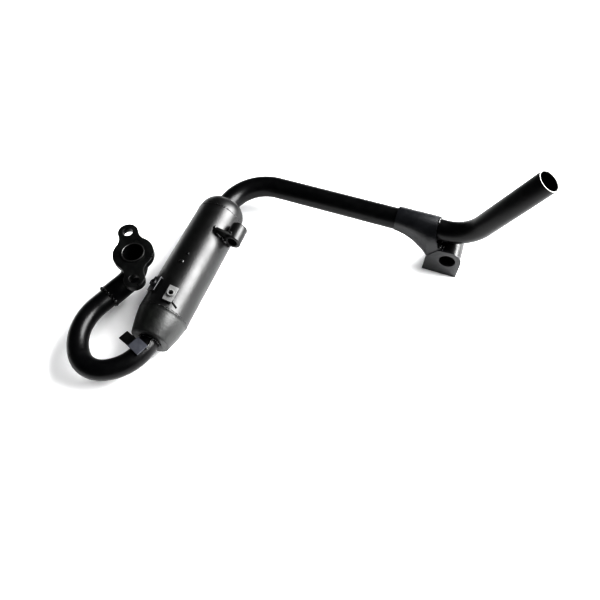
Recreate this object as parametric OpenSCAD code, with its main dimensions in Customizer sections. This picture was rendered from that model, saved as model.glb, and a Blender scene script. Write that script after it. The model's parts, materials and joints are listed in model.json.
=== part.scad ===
// Kart exhaust: two-stud flange, looped header, silencer and raised tail pipe.
// Frame: origin midway between the stud holes on the flange's mating face, +Z out of it.
// +Y runs along the silencer from inlet to outlet, and the tail pipe runs along +X.

/* [Flange] */
// Thickness of the flange plate
flange_t = 6; // [4:0.5:8]
// Distance between the two stud holes
stud_pitch = 56; // [52:1:60]
// Diameter of a stud hole
stud_hole_d = 9.5; // [8.5:0.5:10.5]
// Distance of the port behind the middle of the studs, along the header's line
port_back = 2.6; // [0:0.2:3]
// Turn of the stud line from the silencer's direction, in degrees
stud_turn = 35; // [25:1:45]
// Radius of the flange around the port
port_land_r = 19; // [17:0.5:20]
// Radius of each ear
ear_r = 9.5; // [8.5:0.1:9.8]
// Height of the pipe end above the mating face
spigot_h = 1.5; // [0.5:0.5:3]

/* [Header] */
// Outer diameter of the port elbow
elbow_od = 22; // [21.5:0.5:24]
// Wall of the port elbow
elbow_wall = 1.4; // [1.2:0.1:1.4]
// Radius of the port elbow's bend
elbow_bend_r = 20; // [18:1:22]
// Distance from the middle of the studs to the end of the elbow's socket
socket_reach = 36; // [32:1:40]
// Turn of the socket from the silencer's direction, in degrees
socket_turn = 20.5; // [20:0.1:21]
// Drop from the mating face to the header's centreline
header_drop = 30; // [28:1:34]
// Outer diameter of the header pipe
header_od = 19; // [18:0.2:19]
// Wall of the header pipe
header_wall = 1.5; // [1:0.25:2]
// Radius of the header's first bend
loop_r1 = 48; // [46:1:50]
// Radius of the header's tight middle bend
loop_r2 = 25; // [23:0.5:26]
// Radius of the header's last bend
loop_r3 = 42; // [40:1:44]
// Angle of the header's first bend
loop_a1 = 66.5; // [62:0.5:70]
// Angle of the header's middle bend
loop_a2 = 70; // [66:0.5:74]

/* [Silencer] */
// Sideways distance from the port axis to the silencer's axis
silencer_x = 46; // [44:1:48]
// Outer diameter of the barrel
barrel_d = 48; // [46:1:49]
// Sheet thickness of the barrel and its ends
sheet_t = 1.2; // [0.8:0.1:1.5]
// Where the barrel starts along the silencer
barrel_start = -38; // [-42:1:-36]
// Where the barrel ends along the silencer
barrel_end = 90; // [86:1:92]
// Length of the inlet cone
inlet_len = 25; // [23:1:27]
// Radius of the inlet cone's small end
inlet_r = 18.4; // [17.5:0.1:19]
// Length of the outlet dome
outlet_len = 14.5; // [12:0.5:16]
// Radius of the outlet dome's small end
outlet_r = 17; // [16:0.5:18]

/* [Tail pipe] */
// Outer diameter of the tail pipe
tail_od = 22; // [21:0.5:22]
// Wall of the tail pipe
tail_wall = 1.5; // [1:0.25:2]
// Where the tail pipe's first corner lies along the silencer
tail_corner_y = 150.6; // [149:0.2:152]
// Radius of the tail pipe's first bend
tail_bend_r = 41; // [34:1:43]
// Rise of the long straight, in degrees
tail_rise = 4.9; // [4.9:0.1:5.4]
// Drift of the long straight towards the inlet side, in degrees
tail_drift = 3.4; // [3:0.1:3.8]
// Length between the tail pipe's two corners
tail_span = 247.2; // [244:0.2:250]
// Radius of the bend into the raised outlet
stinger_bend_r = 41; // [34:1:42]
// Rise of the raised outlet, in degrees
stinger_rise = 62.5; // [58:0.5:65]
// Sideways turn of the raised outlet, in degrees
stinger_turn = 6; // [0:1:10]
// Length of the raised outlet from its corner
stinger_len = 99; // [90:0.5:105]

/* [Brackets] */
// Thickness of the tail bracket's sheet
bracket_t = 2; // [1.5:0.25:2.5]
// Width of the tail bracket's upright tab
tab_w = 35; // [34:0.5:36]
// Height of the tab's hole above its bottom edge
tab_hole_h = 21.4; // [21:0.2:22]
// Diameter of the tail bracket's bolt hole and bush
tail_bolt_d = 16; // [14:0.5:16.5]
// Outer diameter of the tail bush
tail_bush_od = 25; // [24:0.5:25]
// Length of the tail bush
tail_bush_len = 34; // [30:1:40]
// Outer diameter of the silencer's bush
side_bush_od = 17; // [16:0.5:17]
// Bore of the silencer's bush
side_bush_d = 10; // [8:0.5:11]
// Length of the silencer's bush
side_bush_len = 19; // [17:0.5:20]
// Thread hole of the heat shield nuts
shield_thread_d = 4.2; // [3.3:0.1:5]

/* [Hidden] */
$fn = 64;

// Shared places
barrel_r = barrel_d / 2;
axis_z = -header_drop;
ground_z = axis_z - barrel_r;
fit_gap = 0.1;
cut_gap = 0.02;
bend_seat = 0.3;
bend_draw = 0.02;
fillet_r = 14;
spot_h = 1;

// Header line and port, seen from above: headings in degrees from +X
heading_0 = -90 - socket_turn;
socket_dir = [cos(heading_0), sin(heading_0)];
port_at = socket_dir * -port_back;

// Flange outline, in the stud line's own directions: ears along Y
land_at = [
    port_at[0] * cos(stud_turn) + port_at[1] * sin(stud_turn),
    port_at[1] * cos(stud_turn) - port_at[0] * sin(stud_turn)
];

// Header route: all bends turn to the left
heading_1 = heading_0 + loop_a1;
heading_2 = heading_1 + loop_a2;
loop_a3 = 90 - heading_2;
function arc_step(h, r, a) = r * [sin(h + a) - sin(h), cos(h) - cos(h + a)];
step_1 = arc_step(heading_0, loop_r1, loop_a1);
step_2 = arc_step(heading_1, loop_r2, loop_a2);
step_3 = arc_step(heading_2, loop_r3, loop_a3);
loop_run = step_1 + step_2 + step_3;
loop_start_s = (silencer_x - loop_run[0]) / socket_dir[0];
loop_p1 = socket_dir * loop_start_s;
loop_p2 = loop_p1 + step_1;
loop_p3 = loop_p2 + step_2;
loop_end = loop_p3 + step_3;
header_start_s = elbow_bend_r - port_back + 1;

// Silencer stations along its axis
inlet_face = barrel_start - inlet_len;
outlet_face = barrel_end + outlet_len;
plate_t = 1.6;
header_end = barrel_start - 8;
core_start = header_end + 2;
core_end = barrel_end + 2;
core_r = tail_od / 2;
core_wall = 1;
front_baffle_y = barrel_start + 4;
rear_baffle_y = barrel_end - 12;
tail_start = barrel_end + 5;

// Tail pipe route
tail_dir = [
    cos(tail_drift) * cos(tail_rise),
    -sin(tail_drift) * cos(tail_rise),
    sin(tail_rise)
];
stinger_dir = [
    cos(stinger_turn) * cos(stinger_rise),
    sin(stinger_turn) * cos(stinger_rise),
    sin(stinger_rise)
];
tail_c1 = [silencer_x, tail_corner_y, axis_z];
tail_c2 = tail_c1 + tail_dir * tail_span;
tail_tip = tail_c2 + stinger_dir * stinger_len;
tail_route = [[silencer_x, tail_start, axis_z], tail_c1, tail_c2, tail_tip];
tail_radii = [0, tail_bend_r, stinger_bend_r, 0];

// Tail bracket: a tab across the silencer's direction and a hood folded over the pipe
tab_x = 259.3;
tab_y = 119;
tab_left_h = 20;
tab_round_r = 13.4;
tail_hole_x = tab_x + tab_w - tab_round_r;
tail_hole_z = ground_z + tab_hole_h;
tail_bush_y = tab_y + bracket_t;
hood_steps = 10;
hood_fold_steps = 3;
hood_cols = hood_steps + hood_fold_steps;
hood_wrap = [38, 58, 78, 98, 118];
hood_drop_steps = 8;
hood_rows = len(hood_wrap) - 1 + hood_drop_steps;
hood_r = tail_od / 2 + bracket_t + fit_gap;
hood_back_x = [220.5, 256.5, 261.5];
hood_front = [221.3, 127.6, -17.5];
hood_edge_pull = [242.5, 127.5, -20.5];
hood_fold_low = [tab_x + 0.6, tab_y + 1, ground_z + tab_left_h];
hood_fold_high = [tab_x + 10, tab_y + 1, tail_hole_z + 12.3];

// Silencer bush and its web
side_bush_reach = 33;
side_bush_turn = 24;
side_bush_x = silencer_x + side_bush_reach * cos(side_bush_turn);
side_bush_z = axis_z + side_bush_reach * sin(side_bush_turn);
side_bush_y = 56.7;
side_web_y = 57.7;
side_web_t = 3;

// Heat shield tabs
shield_ys = [-17.5, -24];
shield_turns = [121, 75.5];
shield_gap = 1.6;
shield_t = 1.6;
shield_len = 16;
shield_w = 9;
shield_nut_h = 2.4;
shield_nut_d = 7;
shield_face = barrel_r + shield_gap + shield_t;

// Short bent wire that runs out from under the top tab, as [turn, place along the silencer]
wire_r = 0.6;
wire_lift = 0.22;
wire_knee = 0.12;
wire_points = [[75.5, -27.5], [64.6, -29.8], [50.2, -32.7]];

// Cross tab on the header by the inlet
cross_turn = -22;
cross_at = [43.4, -75.5];
cross_t = 2;
cross_len = 13;
cross_w = 12;
cross_arm_len = 14;
cross_arm_w = 9.5;
cross_arm_drop = 14;
cross_z = axis_z + header_od / 2 - 0.4;

function unit(v) = v / norm(v);
function mix(a, b, t) = a * (1 - t) + b * t;
function curve(a, b, c, t) = mix(mix(a, b, t), mix(b, c, t), t);
function flat_point(p) = [p[0], p[1], axis_z];
function flat_dir(heading) = [cos(heading), sin(heading), 0];
function side_of(d) = unit(cross(abs(d[2]) < 0.9 ? [0, 0, 1] : [1, 0, 0], d));

// Moves children so that their X and Y axes lie along the given directions
module placed(origin, x_dir, y_dir) {
    z_dir = cross(x_dir, y_dir);
    multmatrix([
        [x_dir[0], y_dir[0], z_dir[0], origin[0]],
        [x_dir[1], y_dir[1], z_dir[1], origin[1]],
        [x_dir[2], y_dir[2], z_dir[2], origin[2]],
        [0, 0, 0, 1]
    ]) children();
}

module tube_section(od, wall) {
    difference() {
        circle(d = od);
        circle(d = od - 2 * wall);
    }
}

module straight_tube(start, stop, od, wall) {
    run = stop - start;
    dir = unit(run);
    across = side_of(dir);
    placed(start, across, cross(dir, across))
        linear_extrude(height = norm(run)) tube_section(od, wall);
}

// A bend that starts at a point, heads one way and curves towards a side
module tube_bend(start, dir, side, r, angle, od, wall) {
    placed(start + side * r, -side, dir)
        rotate_extrude(angle = angle) translate([r, 0]) tube_section(od, wall);
}

// A bend drawn slightly thin, whose ends seat inside the walls of its neighbours
module seated_bend(start, dir, side, r, angle, od, wall) {
    seat = bend_seat / r * 180 / PI;
    placed(start + side * r, -side, dir) rotate([0, 0, -seat])
        rotate_extrude(angle = angle + 2 * seat) translate([r, 0])
            tube_section(od - 2 * bend_draw, wall - 2 * bend_draw);
}

function heading_at(route, i) = unit(route[i + 1] - route[i]);
function turn_at(route, i) = acos(heading_at(route, i - 1) * heading_at(route, i));
function trim_at(route, radii, i) = radii[i] == 0 ? 0 : radii[i] * tan(turn_at(route, i) / 2);
function bend_side(u, v) = unit(v - u * (u * v));

// A tube along a route of corners, each with its bend radius
module bent_tube(route, radii, od, wall) {
    last = len(route) - 1;
    for (i = [0 : last - 1]) {
        dir = heading_at(route, i);
        from = route[i] + dir * trim_at(route, radii, i);
        to = route[i + 1] - dir * trim_at(route, radii, i + 1);
        straight_tube(from, to, od, wall);
    }
    for (i = [1 : last - 1]) {
        dir = heading_at(route, i - 1);
        start = route[i] - dir * trim_at(route, radii, i);
        side = bend_side(dir, heading_at(route, i));
        seated_bend(start, dir, side, radii[i], turn_at(route, i), od, wall);
    }
}

// Children turned about the silencer's axis, with their Z along it
module on_silencer() {
    translate([silencer_x, 0, axis_z]) rotate([-90, 0, 0]) children();
}

module silencer_turned(points) {
    on_silencer() rotate_extrude() polygon(points);
}

// A rounded weld bead around a pipe, at a height on its axis
module bead(r, at, size) {
    translate([0, 0, at]) rotate_extrude()
        polygon([for (i = [0 : 6]) [r + size * sin(i * 30), size * (1 - cos(i * 30))]]);
}

// Centre of the hollow circle that touches the port's land and one ear, on one side
function fillet_centre(end, side) =
    let (
        ear = [0, end * stud_pitch / 2],
        land_reach = port_land_r + fillet_r,
        ear_reach = ear_r + fillet_r,
        gap = norm(ear - land_at),
        along = (ear - land_at) / gap,
        across = [along[1], -along[0]] * end * side,
        step = (land_reach * land_reach - ear_reach * ear_reach + gap * gap) / (2 * gap)
    )
    land_at + along * step + across * sqrt(land_reach * land_reach - step * step);

// A point just inside a circle, towards another point
function inside_towards(centre, r, goal) = centre + unit(goal - centre) * r * 0.93;

// The neck between the port's land and one ear, before its sides are hollowed out
module flange_neck(end) {
    ear = [0, end * stud_pitch / 2];
    right = fillet_centre(end, 1);
    left = fillet_centre(end, -1);
    linear_extrude(height = flange_t) polygon([
        inside_towards(land_at, port_land_r, right), inside_towards(ear, ear_r, right),
        inside_towards(ear, ear_r, left), inside_towards(land_at, port_land_r, left)
    ]);
}

module flange() {
    color("#1c1c1e") rotate([0, 0, stud_turn]) translate([0, 0, -flange_t]) difference() {
        union() {
            translate(land_at) cylinder(r = port_land_r, h = flange_t);
            for (end = [-1, 1]) {
                translate([0, end * stud_pitch / 2, 0]) cylinder(r = ear_r, h = flange_t);
                flange_neck(end);
            }
        }
        for (end = [-1, 1], side = [-1, 1])
            translate(concat(fillet_centre(end, side), -1))
                cylinder(r = fillet_r + cut_gap, h = flange_t + 2);
        translate(concat(land_at, -1)) cylinder(d = elbow_od, h = flange_t + 2);
        for (end = [-1, 1])
            translate([0, end * stud_pitch / 2, -1]) cylinder(d = stud_hole_d, h = flange_t + 2);
    }
}

module port_elbow() {
    corner = flat_point(port_at);
    mouth = flat_point(socket_dir * socket_reach);
    color("#161618")
        bent_tube([concat(port_at, spigot_h), corner, mouth], [0, elbow_bend_r, 0], elbow_od, elbow_wall);
}

module flange_weld() {
    color("#2a2a2c") translate(concat(port_at, 0)) bead(elbow_od / 2, -flange_t - 2.4, 1.2);
}

module socket_weld() {
    color("#2a2a2c") placed(flat_point(socket_dir * socket_reach), flat_dir(heading_0 - 90),
        [0, 0, 1]) bead(header_od / 2, 0, 1.25);
}

module header_pipe() {
    start = flat_point(socket_dir * header_start_s);
    color("#161618") {
        straight_tube(start, flat_point(loop_p1), header_od, header_wall);
        seated_bend(flat_point(loop_p1), flat_dir(heading_0), flat_dir(heading_0 + 90),
            loop_r1, loop_a1, header_od, header_wall);
        tube_bend(flat_point(loop_p2), flat_dir(heading_1), flat_dir(heading_1 + 90),
            loop_r2, loop_a2, header_od, header_wall);
        seated_bend(flat_point(loop_p3), flat_dir(heading_2), flat_dir(heading_2 + 90),
            loop_r3, loop_a3, header_od, header_wall);
        straight_tube(flat_point(loop_end), [silencer_x, header_end, axis_z],
            header_od, header_wall);
    }
}

module inlet_cone() {
    lip = 2;
    color("#3a3e3c") silencer_turned([
        [barrel_r, barrel_start],
        [inlet_r + 0.5, inlet_face + lip],
        [inlet_r, inlet_face],
        [inlet_r - sheet_t, inlet_face],
        [inlet_r + 0.5 - sheet_t, inlet_face + lip],
        [barrel_r - sheet_t, barrel_start]
    ]);
}

module inlet_plate() {
    color("#3a3e3c") silencer_turned([
        [header_od / 2, inlet_face],
        [inlet_r - sheet_t, inlet_face],
        [inlet_r - sheet_t, inlet_face + plate_t],
        [header_od / 2, inlet_face + plate_t]
    ]);
}

module inlet_weld() {
    color("#2a2a2c") on_silencer() bead(header_od / 2, inlet_face - 2.4, 1.2);
}

module silencer_barrel() {
    color("#1c1c1e") silencer_turned([
        [barrel_r - sheet_t, barrel_start], [barrel_r, barrel_start],
        [barrel_r, barrel_end], [barrel_r - sheet_t, barrel_end]
    ]);
}

// A low welded seam around the barrel
module seam(at) {
    half = 1;
    rise = 0.5;
    color("#242426") silencer_turned([
        [barrel_r, at], [barrel_r + rise, at + half * 0.5],
        [barrel_r + rise, at + half * 1.5], [barrel_r, at + half * 2]
    ]);
}

module front_seam() {
    seam(barrel_start);
}

module rear_seam() {
    seam(barrel_end - 2);
}

module outlet_dome() {
    steps = 6;
    rim = 82;
    outer = [for (i = [0 : steps]) [
        outlet_r + (barrel_r - outlet_r) * cos(i * rim / steps),
        barrel_end + outlet_len * sin(i * rim / steps) / sin(rim)
    ]];
    inner = [for (i = [steps : -1 : 0]) [
        outer[i][0] - sheet_t,
        outer[i][1]
    ]];
    color("#1c1c1e") silencer_turned(concat(outer, inner));
}

module outlet_plate() {
    color("#1c1c1e") silencer_turned([
        [tail_od / 2, outlet_face],
        [outlet_r + 1, outlet_face],
        [outlet_r + 1, outlet_face + plate_t],
        [tail_od / 2, outlet_face + plate_t]
    ]);
}

module outlet_weld() {
    color("#2a2a2c") on_silencer() bead(tail_od / 2, outlet_face + plate_t, 1);
}

// Perforated tube through the middle of the silencer
module core_tube() {
    rows = 6;
    hole_d = 5;
    pitch = 16;
    color("#6a6a6a") difference() {
        on_silencer() translate([0, 0, core_start]) linear_extrude(height = core_end - core_start)
            tube_section(core_r * 2, core_wall);
        for (row = [0 : rows - 1], turn = [0, 90])
            on_silencer() translate([0, 0, front_baffle_y + pitch * (row + 1)])
                rotate([0, 90, turn]) cylinder(d = hole_d, h = core_r * 3, center = true);
    }
}

module baffle(at) {
    color("#6a6a6a") silencer_turned([
        [core_r, at], [barrel_r - sheet_t, at],
        [barrel_r - sheet_t, at + plate_t], [core_r, at + plate_t]
    ]);
}

module front_baffle() {
    baffle(front_baffle_y);
}

module rear_baffle() {
    baffle(rear_baffle_y);
}

// Children placed on the barrel with X outwards, Y around it and Z along it
module on_barrel(turn, at) {
    on_silencer() translate([0, 0, at]) rotate([0, 0, -turn]) children();
}

module shield_tab(turn, at) {
    foot = 1.6;
    color("#3c3c40") on_barrel(turn, at) difference() {
        union() {
            translate([barrel_r + shield_gap, -shield_w / 2, -shield_len / 2])
                cube([shield_t, shield_w, shield_len]);
            translate([barrel_r - 2, -shield_w / 2, shield_len / 2 - foot])
                cube([shield_gap + shield_t + 2, shield_w, foot]);
        }
        translate([0, 0, -shield_len]) cylinder(r = barrel_r, h = 2 * shield_len);
        translate([barrel_r, 0, 0]) rotate([0, 90, 0]) cylinder(d = shield_thread_d, h = 8);
    }
}

module shield_nut(turn, at) {
    color("#3c3c40") on_barrel(turn, at) translate([shield_face, 0, 0]) rotate([0, 90, 0])
        difference() {
            cylinder(d = shield_nut_d, h = shield_nut_h);
            translate([0, 0, -1]) cylinder(d = shield_thread_d, h = shield_nut_h + 2);
        }
}

module shield_tab_left() {
    shield_tab(shield_turns[0], shield_ys[0]);
}

module shield_tab_top() {
    shield_tab(shield_turns[1], shield_ys[1]);
}

module shield_nut_left() {
    shield_nut(shield_turns[0], shield_ys[0]);
}

module shield_nut_top() {
    shield_nut(shield_turns[1], shield_ys[1]);
}

function wire_point(p) = [
    silencer_x + (barrel_r + wire_r + wire_lift) * cos(p[0]),
    p[1],
    axis_z + (barrel_r + wire_r + wire_lift) * sin(p[0])
];

// The wire's two straights, which stop just short of each other at the knee
module shield_wire() {
    color("#161618") for (i = [0 : len(wire_points) - 2]) {
        start = wire_point(wire_points[i]);
        stop = wire_point(wire_points[i + 1]);
        dir = unit(stop - start);
        across = side_of(dir);
        placed(start + dir * wire_knee, across, cross(dir, across))
            cylinder(r = wire_r, h = norm(stop - start) - 2 * wire_knee);
    }
}

// Two round plug welds on the barrel
module plug_welds() {
    spots = [[93, 13, 2.8], [90, 23, 2]];
    color("#2a2a2c") for (s = spots) on_barrel(s[0], s[1])
        translate([barrel_r, 0, 0]) rotate([0, 90, 0]) cylinder(r = s[2], h = spot_h);
}

module cross_tab_shape() {
    translate([-cross_len / 2, -cross_w / 2, 0]) cube([cross_len, cross_w, cross_t]);
    translate([-cross_len / 2, -cross_w / 2, 0]) rotate([0, -cross_arm_drop, 0])
        translate([-cross_arm_len, 0.3, 0]) cube([cross_arm_len + 0.5, cross_arm_w, cross_t]);
}

module cross_tab() {
    color("#3c3c40") translate([cross_at[0], cross_at[1], cross_z]) rotate([0, 0, cross_turn])
        translate([0, 0, 0.4]) cross_tab_shape();
}

// Two short beads that hold the cross tab to the inlet plate's rim and the pipe
module cross_tab_weld() {
    r = 1.6;
    color("#2a2a2c") difference() {
        translate([cross_at[0], cross_at[1], cross_z + 0.4]) rotate([0, 0, cross_turn])
            for (side = [-1, 1]) translate([side * 3, cross_w / 2, -0.6]) sphere(r = r);
        translate([cross_at[0], cross_at[1], cross_z]) rotate([0, 0, cross_turn])
            translate([-cross_len / 2, -cross_w / 2, 0.4]) cube([cross_len, cross_w, cross_t]);
        header_envelope();
    }
}

// The room that the header's last bend takes
module header_envelope() {
    tube_bend(flat_point(loop_p3), flat_dir(heading_2), flat_dir(heading_2 + 90),
        loop_r3, loop_a3, header_od, header_od / 2);
}

module side_web() {
    top = 4.5;
    color("#1c1c1e") difference() {
        translate([silencer_x, side_web_y + side_web_t, axis_z]) rotate([90, 0, 0])
            linear_extrude(height = side_web_t) polygon([
                [barrel_r * cos(8), barrel_r * sin(8) - 3],
                [side_bush_x - silencer_x - 2, side_bush_z - axis_z - side_bush_od / 2 + 1],
                [side_bush_x - silencer_x, side_bush_z - axis_z + side_bush_od / 2],
                [barrel_r * cos(62) + 3, barrel_r * sin(62) + top],
                [barrel_r * cos(66), barrel_r * sin(66)]
            ]);
        on_silencer() cylinder(r = barrel_r, h = 100);
        translate([side_bush_x, 0, side_bush_z]) rotate([-90, 0, 0])
            cylinder(d = side_bush_od, h = 100);
    }
}

module side_bush() {
    color("#1c1c1e") straight_tube([side_bush_x, side_bush_y, side_bush_z],
        [side_bush_x, side_bush_y + side_bush_len, side_bush_z],
        side_bush_od, (side_bush_od - side_bush_d) / 2);
}

// A fillet bead behind the web, along the barrel
module side_web_weld() {
    leg = 2.2;
    span = [28, 64];
    color("#2a2a2c") on_silencer() rotate([0, 0, -span[1]])
        rotate_extrude(angle = span[1] - span[0]) translate([0, side_web_y + side_web_t])
            polygon([[barrel_r, 0], [barrel_r + leg, 0], [barrel_r, leg]]);
}

module tail_pipe() {
    color("#161618") bent_tube(tail_route, tail_radii, tail_od, tail_wall);
}

// The tail pipe's centre above a place along X
function tail_centre(x) = tail_c1 + tail_dir * ((x - silencer_x) / tail_dir[0]);

// Hood surface: each column wraps over the pipe and then drops to the bracket's front edge
function hood_share(i) = i <= hood_steps
    ? [0, i / hood_steps]
    : [1, (i - hood_steps) / hood_fold_steps];
function hood_edge(i) =
    let (s = hood_share(i))
    s[0] == 0 ? curve(hood_front, hood_edge_pull, hood_fold_low, s[1])
        : mix(hood_fold_low, hood_fold_high, s[1]);
function hood_back(i) =
    let (s = hood_share(i))
    mix(hood_back_x[s[0]], hood_back_x[s[0] + 1], s[1]);
function hood_over(i, angle) = tail_centre(hood_back(i)) + hood_r * [0, cos(angle), sin(angle)];
function hood_point(i, j) =
    let (last = len(hood_wrap) - 1)
    j <= last ? hood_over(i, hood_wrap[j])
        : let (
            start = hood_over(i, hood_wrap[last]),
            stop = hood_edge(i),
            fall = [0, -sin(hood_wrap[last]), cos(hood_wrap[last])],
            pull = start + fall * norm(stop - start) * 0.5
        )
        curve(start, pull, stop, (j - last) / hood_drop_steps);
function hood_normal(i, j) = unit(cross(
    hood_point(min(i + 1, hood_cols), j) - hood_point(max(i - 1, 0), j),
    hood_point(i, min(j + 1, hood_rows)) - hood_point(i, max(j - 1, 0))
));
function hood_inner(i, j) = hood_point(i, j) + hood_normal(i, j) * bracket_t;
function hood_index(i, j, layer) = (layer * (hood_cols + 1) + i) * (hood_rows + 1) + j;

// Two triangles over each cell, so that the sheet's faces stay flat
function cell(a, b, c, d) = [[a, b, c], [a, c, d]];
function hood_cell(i, j, layer) = cell(
    hood_index(i, j, layer), hood_index(i + 1, j, layer),
    hood_index(i + 1, j + 1, layer), hood_index(i, j + 1, layer)
);
function flipped(faces) = [for (f = faces) [f[2], f[1], f[0]]];
function hood_end(i) = [for (j = [0 : hood_rows - 1]) each cell(
    hood_index(i, j, 0), hood_index(i, j + 1, 0), hood_index(i, j + 1, 1), hood_index(i, j, 1)
)];
function hood_side(j) = [for (i = [0 : hood_cols - 1]) each cell(
    hood_index(i + 1, j, 0), hood_index(i, j, 0), hood_index(i, j, 1), hood_index(i + 1, j, 1)
)];

module tail_hood() {
    points = [for (layer = [0, 1], i = [0 : hood_cols], j = [0 : hood_rows])
        layer == 0 ? hood_point(i, j) : hood_inner(i, j)];
    skin = [for (i = [0 : hood_cols - 1], j = [0 : hood_rows - 1]) each hood_cell(i, j, 0)];
    lining = [for (i = [0 : hood_cols - 1], j = [0 : hood_rows - 1])
        each flipped(hood_cell(i, j, 1))];
    polyhedron(points = points, faces = concat(
        skin, lining, hood_end(0), flipped(hood_end(hood_cols)),
        hood_side(0), flipped(hood_side(hood_rows))
    ));
}

module tail_tab_outline() {
    hole = [tail_hole_x - tab_x, tab_hole_h];
    polygon([
        [0, 0], [tab_w, 0], [tab_w, tab_hole_h], hole,
        [hole[0] - 2, hole[1] + tab_round_r - 0.2], [10, tab_hole_h + 12.3], [0, tab_left_h]
    ]);
    translate(hole) circle(r = tab_round_r);
}

module tail_bracket() {
    color("#3c3c40") difference() {
        union() {
            translate([tab_x, tab_y + bracket_t, ground_z]) rotate([90, 0, 0])
                linear_extrude(height = bracket_t) tail_tab_outline();
            tail_hood();
        }
        translate([tail_hole_x, tab_y - 5, tail_hole_z]) rotate([-90, 0, 0])
            cylinder(d = tail_bolt_d, h = 20);
    }
}

module tail_bush() {
    color("#1c1c1e") straight_tube([tail_hole_x, tail_bush_y, tail_hole_z],
        [tail_hole_x, tail_bush_y + tail_bush_len, tail_hole_z],
        tail_bush_od, (tail_bush_od - tail_bolt_d) / 2);
}

// Weld lumps between the hood's right edge and the bush
module tail_bush_weld() {
    lumps = 6;
    r = 2.4;
    color("#2a2a2c") difference() {
        for (i = [0 : lumps - 1])
            translate([tail_hole_x - 8.2, tail_bush_y + 2.5 + i * 2.2, tail_hole_z + 10.4])
                sphere(r = r - 0.1 * (i % 2));
        translate([tail_hole_x, 0, tail_hole_z]) rotate([-90, 0, 0])
            cylinder(d = tail_bush_od, h = 300);
        tail_hood();
    }
}

// A fillet bead around the pipe at the hood's right end
module tail_bracket_weld() {
    leg = 2.2;
    span = [42, 100];
    clear = 1.6;
    across = unit(cross([0, 0, 1], tail_dir));
    color("#2a2a2c") placed(tail_centre(hood_back_x[2] + clear), across, cross(tail_dir, across))
        rotate([0, 0, span[0]]) rotate_extrude(angle = span[1] - span[0])
            polygon([[tail_od / 2, 0], [tail_od / 2 + leg, 0], [tail_od / 2, leg]]);
}

flange();
port_elbow();
flange_weld();
socket_weld();
header_pipe();
inlet_cone();
inlet_plate();
inlet_weld();
silencer_barrel();
front_seam();
rear_seam();
outlet_dome();
outlet_plate();
outlet_weld();
core_tube();
front_baffle();
rear_baffle();
shield_tab_left();
shield_tab_top();
shield_nut_left();
shield_nut_top();
shield_wire();
plug_welds();
cross_tab();
cross_tab_weld();
side_web();
side_bush();
side_web_weld();
tail_pipe();
tail_bracket();
tail_bush();
tail_bush_weld();
tail_bracket_weld();
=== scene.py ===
import json
import math
import random

import bmesh
import bpy
from mathutils import Matrix, Vector, noise


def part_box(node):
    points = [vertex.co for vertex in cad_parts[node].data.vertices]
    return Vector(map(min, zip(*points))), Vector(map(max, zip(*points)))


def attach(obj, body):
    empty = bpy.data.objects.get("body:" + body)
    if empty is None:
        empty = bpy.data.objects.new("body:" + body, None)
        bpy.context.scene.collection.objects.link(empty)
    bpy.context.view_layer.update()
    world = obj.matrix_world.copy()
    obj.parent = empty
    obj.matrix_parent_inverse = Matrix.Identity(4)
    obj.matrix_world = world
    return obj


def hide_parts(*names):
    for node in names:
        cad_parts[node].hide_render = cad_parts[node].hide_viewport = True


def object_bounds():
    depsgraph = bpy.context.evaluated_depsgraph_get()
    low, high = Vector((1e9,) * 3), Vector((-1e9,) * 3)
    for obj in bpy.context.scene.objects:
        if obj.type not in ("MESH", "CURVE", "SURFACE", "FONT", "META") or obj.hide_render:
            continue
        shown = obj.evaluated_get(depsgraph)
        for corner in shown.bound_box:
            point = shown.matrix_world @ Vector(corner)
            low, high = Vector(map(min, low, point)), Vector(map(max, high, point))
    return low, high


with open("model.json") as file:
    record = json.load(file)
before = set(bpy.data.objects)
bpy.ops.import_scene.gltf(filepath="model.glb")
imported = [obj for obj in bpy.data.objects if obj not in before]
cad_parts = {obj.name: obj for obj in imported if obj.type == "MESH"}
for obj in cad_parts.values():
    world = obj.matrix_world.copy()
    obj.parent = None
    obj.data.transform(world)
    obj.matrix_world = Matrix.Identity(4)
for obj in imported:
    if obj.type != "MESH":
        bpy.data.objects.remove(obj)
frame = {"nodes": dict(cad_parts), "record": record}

CAD_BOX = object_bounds()
MM = 0.001
SMOOTH_ANGLE = math.radians(35)
AROUND = 72


# ---------------------------------------------------------------- places taken from the frame

def low(node):
    return Vector(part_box(node)[0])


def high(node):
    return Vector(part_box(node)[1])


def middle(node):
    return (low(node) + high(node)) / 2


BARREL = middle("silencer_barrel")
BARREL_R = (high("silencer_barrel").x - low("silencer_barrel").x) / 2
BARREL_START = low("silencer_barrel").y
BARREL_END = high("silencer_barrel").y
AXIS_X = BARREL.x
AXIS_Z = BARREL.z
SHEET = 1.2 * MM
RIM_DEPTH = 0.3 * MM
INLET_FACE = low("inlet_cone").y
INLET_R = 18.4 * MM
OUTLET_FACE = high("outlet_dome").y
OUTLET_R = (high("outlet_plate").x - low("outlet_plate").x) / 2
HEADER_R = (high("header_pipe").z - low("header_pipe").z) / 2
HEADER_WALL = 1.5 * MM
ELBOW_R = 11 * MM
ELBOW_WALL = 1.4 * MM
FLANGE_TOP = high("flange").z
FLANGE_T = high("flange").z - low("flange").z
SPIGOT_TOP = high("port_elbow").z
GROUND_Z = CAD_BOX[0][2]

MOUNTS = {m["name"]: m for m in frame["record"]["mounts"]}
PORT = Vector(MOUNTS["port"]["pos_m"])

# Route of the header, in the silencer's plane: heading from +X, then left bends
SOCKET_HEADING = math.radians(-110.5)
SOCKET_REACH = 36 * MM
ELBOW_BEND = 20 * MM
LOOP_BENDS = [
    (48 * MM, math.radians(66.5)),
    (25 * MM, math.radians(70)),
    (42 * MM, math.radians(64)),
]
HEADER_START = 18.4 * MM
HEADER_END_Y = BARREL_START - 8 * MM

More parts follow.
